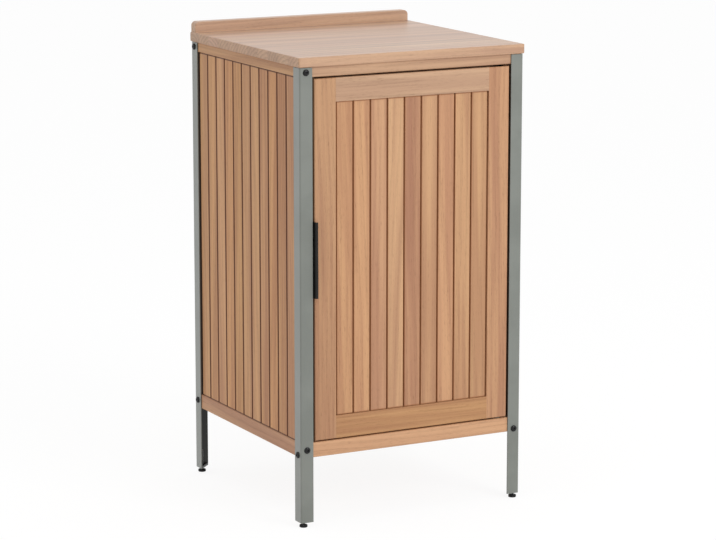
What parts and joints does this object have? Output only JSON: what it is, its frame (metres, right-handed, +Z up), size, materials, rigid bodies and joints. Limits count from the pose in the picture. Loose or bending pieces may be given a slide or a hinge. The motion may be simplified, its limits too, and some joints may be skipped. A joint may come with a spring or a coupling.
{
  "type": "outdoor kitchen cabinet",
  "caption": "Free-standing outdoor kitchen cabinet: timber worktop with a low upstand, boarded sides and a hinged boarded door between bolted steel angle legs on levelling feet.",
  "frame": {"origin": "on the floor, under the middle of the overall box", "axes": "+Z up, -Y out of the front where the door is, +X to the right as seen from the front"},
  "size_m": [0.5022, 0.5066, 0.95],
  "materials": {
    "timber": "oiled, fine straight grain",
    "grey_steel": "satin grey powder coat",
    "black_steel": "satin black",
    "black_plastic": "matt moulded",
    "zinc_steel": "bright zinc",
    "nylon": "natural nylon",
    "magnet": "bare ferrite"
  },
  "bodies": {
    "cabinet": {"back_boards": "timber", "back_bottom_rail": "timber", "back_top_rail": "timber", "catch_housing": "black_plastic", "catch_magnet": "magnet", "floor_boards": "timber", "floor_cleats": "timber", "front_bottom_rail": "timber", "front_top_rail": "timber", "left_boards": "timber", "left_bottom_rail": "timber", "left_top_rail": "timber", "leg_back_left": "grey_steel", "leg_back_right": "grey_steel", "leg_bolts": "black_steel", "leg_front_left": "grey_steel", "leg_front_right": "grey_steel", "pivot_bushes": "nylon", "post_back_left": "timber", "post_back_right": "timber", "post_front_left": "timber", "post_front_right": "timber", "right_boards": "timber", "right_bottom_rail": "timber", "right_top_rail": "timber", "shelf": "timber", "shelf_battens": "timber", "upstand": "timber", "worktop": "timber", "worktop_brackets": "zinc_steel"},
    "door": {"door_board_1": "timber", "door_board_2": "timber", "door_board_3": "timber", "door_board_4": "timber", "door_board_5": "timber", "door_board_6": "timber", "door_board_7": "timber", "door_board_8": "timber", "door_board_9": "timber", "door_bottom_rail": "timber", "door_left_stile": "timber", "door_pivots": "zinc_steel", "door_pull": "black_steel", "door_right_stile": "timber", "door_top_rail": "timber", "strike_plate": "zinc_steel"},
    "foot_front_left": {"foot_pad_front_left": "black_plastic", "foot_stem_front_left": "zinc_steel"},
    "foot_front_right": {"foot_pad_front_right": "black_plastic", "foot_stem_front_right": "zinc_steel"},
    "foot_back_right": {"foot_pad_back_right": "black_plastic", "foot_stem_back_right": "zinc_steel"},
    "foot_back_left": {"foot_pad_back_left": "black_plastic", "foot_stem_back_left": "zinc_steel"}
  },
  "joints": [
    {"name": "door_hinge", "type": "hinge", "parent": "cabinet", "child": "door", "pos_m": [0.2015, -0.2333, 0.53], "axis": [0, 0, 1], "range_deg": [0, 110]},
    {"name": "foot_front_left_height", "type": "slide", "parent": "cabinet", "child": "foot_front_left", "axis": [0, 0, 1], "range_m": [-0.015, 0.0045]},
    {"name": "foot_front_right_height", "type": "slide", "parent": "cabinet", "child": "foot_front_right", "axis": [0, 0, 1], "range_m": [-0.015, 0.0045]},
    {"name": "foot_back_right_height", "type": "slide", "parent": "cabinet", "child": "foot_back_right", "axis": [0, 0, 1], "range_m": [-0.015, 0.0045]},
    {"name": "foot_back_left_height", "type": "slide", "parent": "cabinet", "child": "foot_back_left", "axis": [0, 0, 1], "range_m": [-0.015, 0.0045]}
  ]
}
